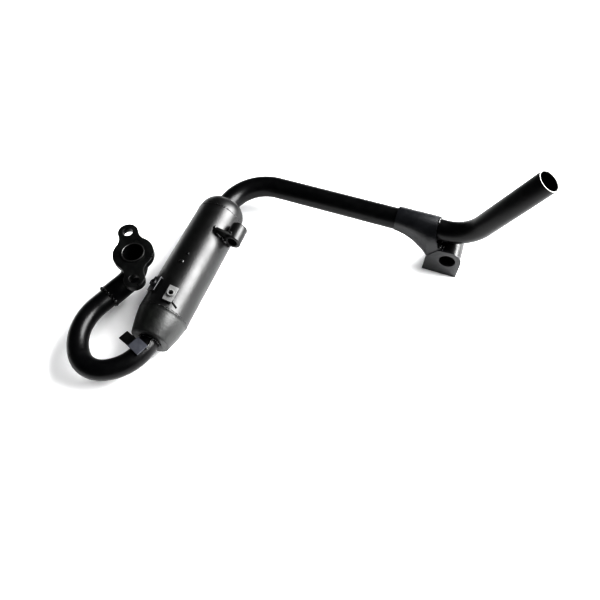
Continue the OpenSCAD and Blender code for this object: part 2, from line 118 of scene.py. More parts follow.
# The cross tab's dark arm, in the black enamel, reaches this far in from its left end; past it
# the plate is painted lighter blue-grey as painted light on its lit face
CROSS_ARM = 15 * MM

# Route of the tail pipe
TAIL_R = 11 * MM
TAIL_WALL = 1.5 * MM
TAIL_START_Y = BARREL_END + 5 * MM
TAIL_CORNER_Y = 150.6 * MM
TAIL_SPAN = 247.2 * MM
TAIL_BEND = 41 * MM
TAIL_RISE = math.radians(4.9)
TAIL_DRIFT = math.radians(-3.4)
STINGER_BEND = 41 * MM
STINGER_LEN = 99 * MM


def direction(turn, rise):
    flat = math.cos(rise)
    return Vector((math.cos(turn) * flat, math.sin(turn) * flat, math.sin(rise)))


TAIL_DIR = direction(TAIL_DRIFT, TAIL_RISE)
STINGER_DIR = Vector(MOUNTS["outlet"]["axis"])
SOCKET_DIR = direction(SOCKET_HEADING, 0)
TAIL_CORNER = Vector((AXIS_X, TAIL_CORNER_Y, AXIS_Z))
STINGER_CORNER = TAIL_CORNER + TAIL_DIR * TAIL_SPAN
TAIL_TIP = STINGER_CORNER + STINGER_DIR * STINGER_LEN


# ---------------------------------------------------------------- shared shader groups

def new_group(name, inputs, outputs):
    """An empty shader group with its sockets; inputs are (name, kind, default)."""
    group = bpy.data.node_groups.new(name, "ShaderNodeTree")
    for label, kind, default in inputs:
        socket = group.interface.new_socket(label, in_out="INPUT", socket_type=kind)
        socket.default_value = default
    for label, kind in outputs:
        group.interface.new_socket(label, in_out="OUTPUT", socket_type=kind)
    return group


class Wiring:
    """Short calls to add and join shader nodes in one tree."""

    def __init__(self, tree):
        self.tree = tree

    def node(self, kind, **settings):
        made = self.tree.nodes.new(kind)
        for key, value in settings.items():
            setattr(made, key, value)
        return made

    def feed(self, source, target):
        if isinstance(source, bpy.types.NodeSocket):
            self.tree.links.new(source, target)
        else:
            target.default_value = source

    def noise(self, vector, scale, detail=4.0, roughness=0.55, distortion=0.0):
        made = self.node("ShaderNodeTexNoise")
        self.feed(vector, made.inputs["Vector"])
        self.feed(scale, made.inputs["Scale"])
        made.inputs["Detail"].default_value = detail
        made.inputs["Roughness"].default_value = roughness
        made.inputs["Distortion"].default_value = distortion
        return made.outputs["Fac"]

    def spread(self, value, low_in, high_in, low_out, high_out):
        made = self.node("ShaderNodeMapRange", interpolation_type="SMOOTHSTEP")
        self.feed(value, made.inputs["Value"])
        for label, number in (
            ("From Min", low_in), ("From Max", high_in),
            ("To Min", low_out), ("To Max", high_out),
        ):
            self.feed(number, made.inputs[label])
        return made.outputs["Result"]

    def math(self, operation, first, second=0.0, clamp=False):
        made = self.node("ShaderNodeMath", operation=operation, use_clamp=clamp)
        self.feed(first, made.inputs[0])
        self.feed(second, made.inputs[1])
        return made.outputs[0]

    def blend(self, share, first, second):
        made = self.node("ShaderNodeMix", data_type="RGBA")
        self.feed(share, made.inputs["Factor"])
        self.feed(first, made.inputs["A"])
        self.feed(second, made.inputs["B"])
        return made.outputs["Result"]

    def stretched(self, vector, scale):
        made = self.node("ShaderNodeMapping")
        self.feed(vector, made.inputs["Vector"])
        made.inputs["Scale"].default_value = scale
        return made.outputs["Vector"]

    def bump(self, height, strength, distance, below=None):
        made = self.node("ShaderNodeBump")
        self.feed(height, made.inputs["Height"])
        self.feed(strength, made.inputs["Strength"])
        self.feed(distance, made.inputs["Distance"])
        if below is not None:
            self.feed(below, made.inputs["Normal"])
        return made.outputs["Normal"]


def enamel_coat_group():
    """Baked enamel: blotchy gloss, orange peel, fine dust nibs and hairline scratches."""
    group = new_group(
        "enamel_coat",
        [
            ("Paint", "NodeSocketColor", (0.01, 0.01, 0.011, 1)),
            ("Bloom", "NodeSocketColor", (0.05, 0.055, 0.055, 1)),
            ("Bloom Amount", "NodeSocketFloat", 0.3),
            ("Gloss Roughness", "NodeSocketFloat", 0.16),
            ("Dull Roughness", "NodeSocketFloat", 0.32),
            ("Peel Depth", "NodeSocketFloat", 0.25),
            ("Scratches", "NodeSocketFloat", 0.3),
        ],
        [
            ("Colour", "NodeSocketColor"),
            ("Roughness", "NodeSocketFloat"),
            ("Normal", "NodeSocketVector"),
        ],
    )
    w = Wiring(group)
    given = w.node("NodeGroupInput").outputs
    out = w.node("NodeGroupOutput")
    place = w.node("ShaderNodeTexCoord").outputs["Object"]
    blotch = w.noise(place, 38.0, detail=5.0, roughness=0.6)
    cloud = w.noise(place, 130.0, detail=6.0, roughness=0.62, distortion=0.4)
    peel = w.noise(place, 620.0, detail=2.0, roughness=0.4)
    grain = w.noise(place, 3200.0, detail=3.0, roughness=0.6)
    lines = w.noise(w.stretched(place, (60.0, 900.0, 420.0)), 3.0, detail=3.0, distortion=1.2)
    hairline = w.spread(lines, 0.66, 0.72, 0.0, 1.0)
    scratch = w.math("MULTIPLY", hairline, given["Scratches"])
    nibs = w.spread(w.noise(place, 1500.0, detail=1.0), 0.72, 0.8, 0.0, 1.0)
    # Cloudy patches mixed toward the Bloom colour: dust bloom on the pipe and barrel finishes,
    # part dust bloom and part painted reflection on the cone and flange finishes, painted light
    # on the lit tab and plate finishes
    bloom_and_sheen = w.math("MULTIPLY", w.spread(cloud, 0.42, 0.7, 0.0, 1.0), given["Bloom Amount"])
    bloomed = w.blend(bloom_and_sheen, given["Paint"], given["Bloom"])
    w.feed(w.blend(scratch, bloomed, given["Bloom"]), out.inputs["Colour"])
    dull = w.spread(w.math("ADD", blotch, w.math("MULTIPLY", cloud, 0.35)), 0.45, 0.9, 0.0, 1.0)
    mixed = w.node("ShaderNodeMix", data_type="FLOAT")
    w.feed(dull, mixed.inputs["Factor"])
    w.feed(given["Gloss Roughness"], mixed.inputs["A"])
    w.feed(given["Dull Roughness"], mixed.inputs["B"])
    worn = w.math("ADD", mixed.outputs["Result"], w.math("MULTIPLY", scratch, 0.25), clamp=True)
    w.feed(worn, out.inputs["Roughness"])
    soft = w.bump(peel, given["Peel Depth"], 0.35 * MM)
    gritty = w.bump(grain, w.math("MULTIPLY", given["Peel Depth"], 0.35), 0.08 * MM, soft)
    w.feed(w.bump(nibs, 0.35, 0.06 * MM, gritty), out.inputs["Normal"])
    return group


def chipped_edge_group():
    """Where a corner is worn, as a mask from the mesh's own convexity and a broken pattern."""
    group = new_group(
        "chipped_edge",
        [("Amount", "NodeSocketFloat", 0.5), ("Pattern Scale", "NodeSocketFloat", 500.0)],
        [("Mask", "NodeSocketFloat")],
    )
    w = Wiring(group)
    given = w.node("NodeGroupInput").outputs
    out = w.node("NodeGroupOutput")
    place = w.node("ShaderNodeTexCoord").outputs["Object"]
    convex = w.node("ShaderNodeNewGeometry").outputs["Pointiness"]
    broken = w.noise(place, given["Pattern Scale"], detail=5.0, roughness=0.7)
    pushed = w.math("ADD", convex, w.math("MULTIPLY", broken, 0.12))
    mask = w.spread(pushed, 0.6, 0.66, 0.0, 1.0)
    w.feed(w.math("MULTIPLY", mask, given["Amount"], clamp=True), out.inputs["Mask"])
    return group


def steel_grain_group():
    """Cut or turned steel: fine streaks with a faint heat tint."""
    group = new_group(
        "steel_grain",
        [
            ("Steel", "NodeSocketColor", (0.6, 0.59, 0.57, 1)),
            ("Tint", "NodeSocketColor", (0.42, 0.33, 0.22, 1)),
            ("Tint Amount", "NodeSocketFloat", 0.3),
            ("Roughness", "NodeSocketFloat", 0.3),
        ],
        [
            ("Colour", "NodeSocketColor"),
            ("Roughness", "NodeSocketFloat"),
            ("Normal", "NodeSocketVector"),
        ],
    )
    w = Wiring(group)
    given = w.node("NodeGroupInput").outputs
    out = w.node("NodeGroupOutput")
    place = w.node("ShaderNodeTexCoord").outputs["Object"]
    streak = w.noise(w.stretched(place, (1.0, 1.0, 9.0)), 900.0, detail=3.0)
    patch = w.noise(place, 160.0, detail=4.0, roughness=0.6)
    tint = w.math("MULTIPLY", w.spread(patch, 0.4, 0.7, 0.0, 1.0), given["Tint Amount"])
    w.feed(w.blend(tint, given["Steel"], given["Tint"]), out.inputs["Colour"])
    rough = w.math("ADD", given["Roughness"], w.spread(streak, 0.3, 0.7, -0.08, 0.12), clamp=True)
    w.feed(rough, out.inputs["Roughness"])
    w.feed(w.bump(streak, 0.25, 0.05 * MM), out.inputs["Normal"])
    return group


# ---------------------------------------------------------------- materials

def blank_material(name):
    material = bpy.data.materials.new(name)
    material.use_nodes = True
    material.node_tree.nodes.clear()
    w = Wiring(material.node_tree)
    shader = w.node("ShaderNodeBsdfPrincipled")
    out = w.node("ShaderNodeOutputMaterial")
    w.feed(shader.outputs["BSDF"], out.inputs["Surface"])
    return material, w, shader


def placed_group(w, group, **values):
    made = w.node("ShaderNodeGroup", node_tree=group)
    for label, value in values.items():
        w.feed(value, made.inputs[label.replace("_", " ")])
    return made.outputs


def enamel(name, paint, bloom_and_sheen, bloom_and_sheen_amount, gloss, dull, peel, scratches, chips=0.0, shine=0.6):
    """One black enamel finish; chips show a lighter primer on the most raised spots."""
    material, w, shader = blank_material(name)
    coat = placed_group(
        w, ENAMEL_COAT, Paint=paint, Bloom=bloom_and_sheen, Bloom_Amount=bloom_and_sheen_amount,
        Gloss_Roughness=gloss, Dull_Roughness=dull, Peel_Depth=peel, Scratches=scratches,
    )
    chip = placed_group(w, CHIPPED_EDGE, Amount=chips, Pattern_Scale=520.0)["Mask"]
    w.feed(w.blend(chip, coat["Colour"], PRIMER_GREY), shader.inputs["Base Color"])
    worn = w.math("ADD", coat["Roughness"], w.math("MULTIPLY", chip, 0.2), clamp=True)
    w.feed(worn, shader.inputs["Roughness"])
    w.feed(coat["Normal"], shader.inputs["Normal"])
    shader.inputs["Specular IOR Level"].default_value = shine
    return material


def bare_steel(name, steel, tint, tint_amount, roughness):
    material, w, shader = blank_material(name)
    cut = placed_group(
        w, STEEL_GRAIN, Steel=steel, Tint=tint, Tint_Amount=tint_amount, Roughness=roughness,
    )
    w.feed(cut["Colour"], shader.inputs["Base Color"])
    w.feed(cut["Roughness"], shader.inputs["Roughness"])
    w.feed(cut["Normal"], shader.inputs["Normal"])
    shader.inputs["Metallic"].default_value = 1.0
    return material


ENAMEL_COAT = enamel_coat_group()
CHIPPED_EDGE = chipped_edge_group()
STEEL_GRAIN = steel_grain_group()

GREY_BLOOM = (0.016, 0.017, 0.016, 1)
PRIMER_GREY = (0.2, 0.2, 0.19, 1)
PIPE_ENAMEL = enamel(
    "pipe_enamel", paint=(0.0012, 0.0012, 0.0015, 1), bloom_and_sheen=GREY_BLOOM, bloom_and_sheen_amount=0.1,
    gloss=0.28, dull=0.38, peel=0.16, scratches=0.2, shine=0.3,
)
BARREL_ENAMEL = enamel(
    "barrel_enamel", paint=(0.0015, 0.0015, 0.0015, 1), bloom_and_sheen=GREY_BLOOM, bloom_and_sheen_amount=0.12,
    gloss=0.36, dull=0.44, peel=0.2, scratches=0.25,
)
# Slightly lighter, greenish paint and bloom than the barrel: partly dust bloom and partly a
# painted reflection of grey-green surroundings
CONE_ENAMEL = enamel(
    "cone_enamel", paint=(0.002, 0.0024, 0.002, 1), bloom_and_sheen=(0.02, 0.024, 0.02, 1),
    bloom_and_sheen_amount=0.25, gloss=0.38, dull=0.5, peel=0.3, scratches=0.2, shine=1.0,
)
# Greenish bloom: partly dust bloom and partly a painted reflection of grey-green surroundings
FLANGE_ENAMEL = enamel(
    "flange_enamel", paint=(0.002, 0.0022, 0.0022, 1), bloom_and_sheen=(0.02, 0.022, 0.02, 1),
    bloom_and_sheen_amount=0.25, gloss=0.22, dull=0.4, peel=0.35, scratches=0.35,
)
BRACKET_ENAMEL = enamel(
    "bracket_enamel", paint=(0.006, 0.0065, 0.008, 1), bloom_and_sheen=(0.02, 0.021, 0.024, 1),
    bloom_and_sheen_amount=0.3, gloss=0.3, dull=0.42, peel=0.3, scratches=0.35,
)
# Blue-grey paint much lighter than the black bracket enamel: painted light on the cross tab's lit
# plate
PAINTED_LIGHT_PLATE_ENAMEL = enamel(
    "painted_light_plate_enamel", paint=(0.036, 0.038, 0.046, 1), bloom_and_sheen=(0.06, 0.062, 0.07, 1),
    bloom_and_sheen_amount=0.4, gloss=0.36, dull=0.5, peel=0.3, scratches=0.35,
)
# Light grey paint: painted light on the top shield tab and its nut, where light falls on them
PAINTED_LIGHT_TAB_ENAMEL = enamel(
    "painted_light_tab_enamel", paint=(0.1, 0.1, 0.1, 1), bloom_and_sheen=(0.17, 0.17, 0.165, 1),
    bloom_and_sheen_amount=0.5, gloss=0.36, dull=0.5, peel=0.3, scratches=0.35,
)
WELD_ENAMEL = enamel(
    "weld_enamel", paint=(0.0015, 0.0015, 0.0018, 1), bloom_and_sheen=(0.03, 0.03, 0.028, 1),
    bloom_and_sheen_amount=0.2, gloss=0.14, dull=0.28, peel=0.35, scratches=0.1, chips=0.25,
)
RIM_STEEL = bare_steel(
    "rim_steel", steel=(0.14, 0.14, 0.138, 1), tint=(0.1, 0.095, 0.09, 1),
    tint_amount=0.4, roughness=0.5,
)
PORT_STEEL = bare_steel(
    "port_steel", steel=(0.12, 0.12, 0.118, 1), tint=(0.05, 0.05, 0.05, 1),
    tint_amount=0.6, roughness=0.45,
)
CORE_STEEL = bare_steel(
    "core_steel", steel=(0.42, 0.41, 0.4, 1), tint=(0.3, 0.2, 0.12, 1),
    tint_amount=0.6, roughness=0.42,
)


# ---------------------------------------------------------------- mesh helpers

def new_piece(name, verts, faces, material, slot, *nodes):
    """A mesh piece on the one body, standing for the CAD nodes it replaces."""
    mesh = bpy.data.meshes.new(name)
    mesh.from_pydata([tuple(v) for v in verts], [], faces)
    mesh.validate()
    mesh.materials.append(material)
    piece = bpy.data.objects.new(name, mesh)
    bpy.context.scene.collection.objects.link(piece)
    face_out(piece)
    shade_smooth(piece)
    hold(piece, slot, *nodes)
    return piece


def hold(piece, slot, *nodes):
    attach(piece, "root")
    if nodes:
        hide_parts(*nodes)


def face_out(piece):
    work = bmesh.new()
    work.from_mesh(piece.data)
    bmesh.ops.recalc_face_normals(work, faces=work.faces)
    work.to_mesh(piece.data)
    work.free()


def shade_smooth(piece, angle=SMOOTH_ANGLE):
    mesh = piece.data
    mesh.polygons.foreach_set("use_smooth", [True] * len(mesh.polygons))
    mesh.set_sharp_from_angle(angle=angle)
    mesh.update()


def ring_faces(rings, around, closed):
    """Quads between rings of vertices; closed joins the last ring to the first."""
    faces = []
    pairs = rings if closed else rings - 1
    for i in range(pairs):
        here = i * around
        there = ((i + 1) % rings) * around
        for j in range(around):
            k = (j + 1) % around
            faces.append((here + j, here + k, there + k, there + j))
    return faces


def bent_route(corners, bends, fine=math.radians(2.5)):
    """Points and directions along straights that meet in round bends."""
    stations = [(corners[0], (corners[1] - corners[0]).normalized())]
    for before, corner, after, radius in zip(corners, corners[1:], corners[2:], bends):
        into = (corner - before).normalized()
        away = (after - corner).normalized()
        turn = into.angle(away)
        start = corner - into * radius * math.tan(turn / 2)
        side = (away - into * into.dot(away)).normalized()
        centre = start + side * radius
        axis = into.cross(side)
        steps = max(2, math.ceil(turn / fine))
        for i in range(steps + 1):
            swing = Matrix.Rotation(turn * i / steps, 3, axis)
            stations.append((centre + swing @ (start - centre), swing @ into))
    stations.append((corners[-1], (corners[-1] - corners[-2]).normalized()))
    return stations


def framed(stations):
    """Adds a steady sideways direction to each station of a route."""
    point, ahead = stations[0]
    side = ahead.orthogonal().normalized()
    out = []
    for point, ahead in stations:
        side = (side - ahead * side.dot(ahead)).normalized()
        out.append((point, ahead, side))
    return out


def tube(name, stations, radius, wall, material, slot, *nodes, lip=0.35 * MM):
    """A hollow pipe along a route, with rounded end lips."""
    line = framed(stations)
    first, last = line[0], line[-1]

    def moved(station, by):
        point, ahead, side = station
        return (point + ahead * by, ahead, side)

    inner = radius - wall
    loop = [(moved(first, lip), radius)]
    loop += [(s, radius) for s in line[1:-1]]
    loop += [
        (moved(last, -lip), radius), (moved(last, -lip * 0.3), radius - lip * 0.3),
        (last, radius - lip), (last, inner + lip), (moved(last, -lip), inner),
    ]
    loop += [(s, inner) for s in reversed(line[1:-1])]
    loop += [
        (moved(first, lip), inner), (first, inner + lip),
        (first, radius - lip), (moved(first, lip * 0.3), radius - lip * 0.3),
    ]
    verts = []
    for (point, ahead, side), r in loop:
        other = ahead.cross(side)
        for j in range(AROUND):
            a = 2 * math.pi * j / AROUND
            verts.append(point + (side * math.cos(a) + other * math.sin(a)) * r)
    return new_piece(
        name, verts, ring_faces(len(loop), AROUND, True), material, slot, *nodes
    )


def turned(name, profile, material, slot, *nodes, around=120):
    """A closed profile of (radius, y) turned about the silencer's axis."""
    verts = []
    for r, y in profile:
        for j in range(around):
            a = 2 * math.pi * j / around
            verts.append((AXIS_X + r * math.cos(a), y, AXIS_Z + r * math.sin(a)))
    return new_piece(
        name, verts, ring_faces(len(profile), around, True), material, slot, *nodes
    )


def softened(name, node, width, segments, material, slot, sharp=30):
    """The CAD node's own shape with its sharp edges rounded off."""
    source = frame["nodes"][node]
    work = bmesh.new()
    work.from_mesh(source.data)
    bmesh.ops.remove_doubles(work, verts=work.verts, dist=0.002 * MM)
    bmesh.ops.dissolve_limit(
        work, angle_limit=math.radians(0.6), verts=work.verts, edges=work.edges,
    )
    edges = [
        e for e in work.edges
        if len(e.link_faces) == 2 and e.calc_face_angle(0) > math.radians(sharp)
    ]
    bmesh.ops.bevel(
        work, geom=edges, offset=width, offset_type="OFFSET", segments=segments,
        profile=0.5, affect="EDGES", clamp_overlap=True,
    )
    bmesh.ops.recalc_face_normals(work, faces=work.faces)
    mesh = bpy.data.meshes.new(name)
    work.to_mesh(mesh)
    work.free()
    mesh.materials.append(material)
    piece = bpy.data.objects.new(name, mesh)
    bpy.context.scene.collection.objects.link(piece)
    shade_smooth(piece)
    hold(piece, slot, node)
    return piece


def lumps(name, spots, material, slot, *nodes, grain=0.32 * MM):
    """Overlapping beads of weld metal melted into one skin; spots are (point, radius)."""
    work = bmesh.new()
    for point, radius in spots:
        ball = bmesh.ops.create_icosphere(work, subdivisions=3, radius=radius)
        bmesh.ops.translate(work, verts=ball["verts"], vec=point)
    mesh = bpy.data.meshes.new(name)
    work.to_mesh(mesh)
    work.free()
    mesh.materials.append(material)
    piece = bpy.data.objects.new(name, mesh)
    bpy.context.scene.collection.objects.link(piece)
    skin = piece.modifiers.new("skin", "REMESH")
    skin.mode = "VOXEL"
    skin.voxel_size = grain
    melt = piece.modifiers.new("melt", "SMOOTH")
    melt.factor = 0.5
    melt.iterations = 5
    applied(piece)
    for vert in piece.data.vertices:
        ripple = noise.noise(vert.co / (1.1 * MM)) * 0.12 * MM
        vert.co += vert.normal * ripple
    shade_smooth(piece, math.pi)
    hold(piece, slot, *nodes)
    return piece


def applied(piece):
    """Makes a piece's modifiers part of its mesh."""
    view = bpy.context.evaluated_depsgraph_get()
    mesh = bpy.data.meshes.new_from_object(piece.evaluated_get(view))
    piece.modifiers.clear()
    piece.data = mesh


def bead_spots(centre, axis, radius, size, count, seed, arc=(0, 360), start=None):
    """Weld beads around a circle, each a little off in size and place."""
    dice = random.Random(seed)
    side = (start or axis.orthogonal()).normalized()
    other = axis.cross(side)
    spots = []
    for i in range(count):
        share = i / count if arc[1] - arc[0] == 360 else i / (count - 1)
        a = math.radians(arc[0] + (arc[1] - arc[0]) * share)
        r = radius + dice.uniform(-0.12, 0.16) * size
        shift = axis * dice.uniform(-0.22, 0.22) * size
        point = centre + (side * math.cos(a) + other * math.sin(a)) * r + shift
        spots.append((point, size * dice.uniform(0.82, 1.15)))
    return spots


def on_barrel(turn, y, out=0.0):
    """A point on the barrel's skin at an angle from +X, lifted off it by out."""
    a = math.radians(turn)
    r = BARREL_R + out
    return Vector((AXIS_X + r * math.cos(a), y, AXIS_Z + r * math.sin(a)))


# ---------------------------------------------------------------- header and port

def header_corners():
    """Corner points of the header, from inside the elbow to inside the silencer."""
    heading = SOCKET_HEADING
    point = Vector((0, 0, AXIS_Z))
    corners = []
    for radius, angle in LOOP_BENDS:
        trim = radius * math.tan(angle / 2)
        point = point + direction(heading, 0) * trim
        corners.append(point)
        heading += angle
        point = point + direction(heading, 0) * trim
    shift = SOCKET_DIR * ((AXIS_X - point.x) / SOCKET_DIR.x)
    start = SOCKET_DIR * HEADER_START
    start.z = AXIS_Z
    end = Vector((AXIS_X, HEADER_END_Y, AXIS_Z))
    return [start] + [c + shift for c in corners] + [end]


def make_header():
    route = bent_route(header_corners(), [r for r, _ in LOOP_BENDS])
    tube("header", route, HEADER_R, HEADER_WALL, PIPE_ENAMEL, "black_enamel", "header_pipe")


def make_port_elbow():
    corner = Vector((PORT.x, PORT.y, AXIS_Z))
    mouth = SOCKET_DIR * SOCKET_REACH
    mouth.z = AXIS_Z
    corners = [Vector((PORT.x, PORT.y, SPIGOT_TOP)), corner, mouth]
    route = bent_route(corners, [ELBOW_BEND])
    piece = tube(
        "elbow", route, ELBOW_R, ELBOW_WALL, PIPE_ENAMEL, "bright_port", "port_elbow",
    )
    piece.data.materials.append(PORT_STEEL)
    for face in piece.data.polygons:
        if face.center.z > SPIGOT_TOP - RIM_DEPTH:
            face.material_index = 1


def make_port_welds():
    down = Vector((0, 0, -1))
    under = Vector((PORT.x, PORT.y, FLANGE_TOP - FLANGE_T - 0.6 * MM))
    spots = bead_spots(under, down, ELBOW_R + 0.3 * MM, 1.15 * MM, 34, 3)
    lumps("flange_bead", spots, WELD_ENAMEL, "painted_weld", "flange_weld")


def make_socket_weld():
    mouth = SOCKET_DIR * (SOCKET_REACH + 0.5 * MM)
    mouth.z = AXIS_Z
    spots = bead_spots(mouth, SOCKET_DIR, HEADER_R + 0.5 * MM, 1.7 * MM, 17, 8)
    lumps("socket_bead", spots, WELD_ENAMEL, "painted_weld", "socket_weld")


def make_flange():
    softened("flange_plate", "flange", 0.8 * MM, 3, FLANGE_ENAMEL, "black_enamel")


# ---------------------------------------------------------------- silencer

def make_barrel():
    inner = BARREL_R - SHEET
    turned(
        "barrel",
        [(inner, BARREL_START), (BARREL_R, BARREL_START), (BARREL_R, BARREL_END),
         (inner, BARREL_END)],
        BARREL_ENAMEL, "black_enamel", "silencer_barrel",
    )


def make_inlet_cone():
    lip = 2 * MM
    foot = INLET_R + 0.5 * MM
    outer = [(BARREL_R, BARREL_START)]
    steps = 10
    for i in range(steps + 1):
        t = i / steps
        swell = 0.5 * MM * math.sin(math.pi * t)
        r = (BARREL_R - 0.2 * MM) * (1 - t) + foot * t + swell
        y = BARREL_START - 0.3 * MM + (INLET_FACE + lip - BARREL_START + 0.3 * MM) * t
        outer.append((r, y))
    outer += [(INLET_R, INLET_FACE + 0.3 * MM), (INLET_R - 0.3 * MM, INLET_FACE)]
    inner = [(r - SHEET, y) for r, y in reversed(outer[:-1])]
    inner[0] = (INLET_R - SHEET, INLET_FACE)
    turned("cone", outer + inner, CONE_ENAMEL, "black_enamel", "inlet_cone")


def make_outlet_dome():
    steps = 22
    rim = math.radians(82)
    small = OUTLET_R - 1 * MM
    length = OUTLET_FACE - BARREL_END
    outer = []
    for i in range(steps + 1):
        a = rim * i / steps
        outer.append((
            small + (BARREL_R - small) * math.cos(a),
            BARREL_END + length * math.sin(a) / math.sin(rim),
        ))
    inner = [(r - SHEET, y) for r, y in reversed(outer)]
    turned("dome", outer + inner, BARREL_ENAMEL, "black_enamel", "outlet_dome")


def make_end_plates():
    softened("front_plate", "inlet_plate", 0.3 * MM, 2, CONE_ENAMEL, "black_enamel")
    softened("back_plate", "outlet_plate", 0.5 * MM, 3, BARREL_ENAMEL, "black_enamel")


def make_silencer_welds():
    along = Vector((0, 1, 0))
    inlet = Vector((AXIS_X, INLET_FACE - 0.4 * MM, AXIS_Z))
    spots = bead_spots(inlet, along, HEADER_R + 0.4 * MM, 1.2 * MM, 30, 5)
    lumps("inlet_bead", spots, WELD_ENAMEL, "painted_weld", "inlet_weld")
    outlet = Vector((AXIS_X, high("outlet_plate").y + 0.5 * MM, AXIS_Z))
    spots = bead_spots(outlet, along, TAIL_R + 0.4 * MM, 1.15 * MM, 34, 6)
    lumps("outlet_bead", spots, WELD_ENAMEL, "painted_weld", "outlet_weld")
    for name, node, seed in (("front_bead", "front_seam", 11), ("rear_bead", "rear_seam", 12)):
        centre = Vector((AXIS_X, middle(node).y, AXIS_Z))
        spots = bead_spots(centre, along, BARREL_R - 0.55 * MM, 0.85 * MM, 118, seed)
        lumps(name, spots, WELD_ENAMEL, "painted_weld", node, grain=0.3 * MM)


# Each plug weld's turn around the barrel, place along it and radius, in degrees and millimetres
PLUGS = ((93, 13, 2.6), (90, 23, 2.0))


def make_plug_welds():
    """Each plug weld is one lump in the middle with a ring of smaller lumps around it."""
    spots = []
    for turn, y, r in PLUGS:
        base = on_barrel(turn, y * MM, -0.6 * MM)
        dice = random.Random(y)
        spots.append((base, r * 0.62 * MM))
        for i in range(9):
            a = 2 * math.pi * i / 9
            off = Vector((math.cos(a), math.sin(a), 0)) * r * 0.55 * MM
            spots.append((base + off, r * dice.uniform(0.42, 0.5) * MM))
    lumps("plug_beads", spots, WELD_ENAMEL, "painted_weld", "plug_welds", grain=0.28 * MM)


def make_shield_tabs():
    # The left tab and nut keep the dark bracket enamel; the top ones get a light grey enamel as
    # painted light
    for side, finish in (("left", BRACKET_ENAMEL), ("top", PAINTED_LIGHT_TAB_ENAMEL)):
        tab = "shield_tab_" + side
        nut = "shield_nut_" + side
        softened("tab_" + side, tab, 0.3 * MM, 3, finish, "bracket_enamel")
        softened("nut_" + side, nut, 0.35 * MM, 3, finish, "bracket_enamel")


def make_core():
    for node in ("core_tube", "front_baffle", "rear_baffle"):
        paint_node(node, CORE_STEEL)


def make_shield_wire():
    paint_node("shield_wire", PIPE_ENAMEL)


def paint_node(node, material):
    mesh = frame["nodes"][node].data
    for i in range(len(mesh.materials)):
        mesh.materials[i] = material


# ---------------------------------------------------------------- brackets and bushes

def make_cross_tab():
    plate = softened("cross_plate", "cross_tab", 0.35 * MM, 3, PAINTED_LIGHT_PLATE_ENAMEL, "bracket_enamel")
    # Faces of the arm keep the black enamel; the rest of the plate keeps the lighter enamel as
    # painted light
    plate.data.materials.append(FLANGE_ENAMEL)
    for face in plate.data.polygons:
        if face.center.x < low("cross_tab").x + CROSS_ARM:
            face.material_index = 1
    top = high("cross_tab").z - 2.2 * MM
    right = high("cross_tab").x
    spots = []
    dice = random.Random(21)
    for i in range(7):
        y = middle("cross_tab_weld").y + (i - 3) * 1.5 * MM
        x = right - 0.6 * MM + dice.uniform(-0.4, 0.4) * MM
        spots.append((Vector((x, y, top - 0.3 * MM)), dice.uniform(0.9, 1.5) * MM))
    lumps("cross_beads", spots, WELD_ENAMEL, "painted_weld", "cross_tab_weld")


def make_side_bush():
    softened("side_web_plate", "side_web", 0.4 * MM, 3, FLANGE_ENAMEL, "black_enamel")
    softened("side_bush_ring", "side_bush", 0.6 * MM, 3, BARREL_ENAMEL, "black_enamel")
    dice = random.Random(31)
    spots = []
    y = high("side_web").y + 0.8 * MM
    for i in range(15):
        turn = 24 + i * 2.9
        point = on_barrel(turn, y + dice.uniform(-0.3, 0.6) * MM, 0.7 * MM)
        spots.append((point, dice.uniform(1.0, 1.7) * MM))
    front = low("side_web").y - 0.9 * MM
    for i in range(10):
        turn = 24 + i * 3.3
        point = on_barrel(turn, front + dice.uniform(-0.5, 0.3) * MM, 1.1 * MM)
        spots.append((point, dice.uniform(1.3, 2.0) * MM))
    bush = middle("side_bush")
    bush_r = (high("side_bush").z - low("side_bush").z) / 2
    for i in range(8):
        a = math.radians(105 + i * 16)
        out = Vector((math.cos(a), 0, math.sin(a))) * (bush_r + 0.5 * MM)
        point = Vector((bush.x, y, bush.z)) + out
        spots.append((point, dice.uniform(1.0, 1.5) * MM))
    lumps("side_beads", spots, WELD_ENAMEL, "painted_weld", "side_web_weld")


def make_tail_pipe():
    corners = [Vector((AXIS_X, TAIL_START_Y, AXIS_Z)), TAIL_CORNER, STINGER_CORNER, TAIL_TIP]
    route = bent_route(corners, [TAIL_BEND, STINGER_BEND])
    piece = tube("tail", route, TAIL_R, TAIL_WALL, PIPE_ENAMEL, "black_enamel", "tail_pipe")
    piece.data.materials.append(RIM_STEEL)
    for face in piece.data.polygons:
        back = (TAIL_TIP - face.center).dot(STINGER_DIR)
        if back < RIM_DEPTH:
            face.material_index = 1


def make_tail_bracket():
    softened("saddle", "tail_bracket", 0.45 * MM, 3, BRACKET_ENAMEL, "bracket_enamel", 50)
    softened("tail_bush_ring", "tail_bush", 0.7 * MM, 3, BARREL_ENAMEL, "black_enamel")


# Rows of weld between the saddle and the bush: sideways and upward from the bush's middle,
# smallest and largest lump, all in millimetres, and how many lumps the row leaves out
FILLER_ROWS = (
    (-8.2, 10.2, 1.3, 2.1, 0),
    (-11.8, 12.9, 2.2, 2.9, 0),
    (-13.5, 12.6, 2.2, 2.8, 4),
)
FILLER_COUNT = 10


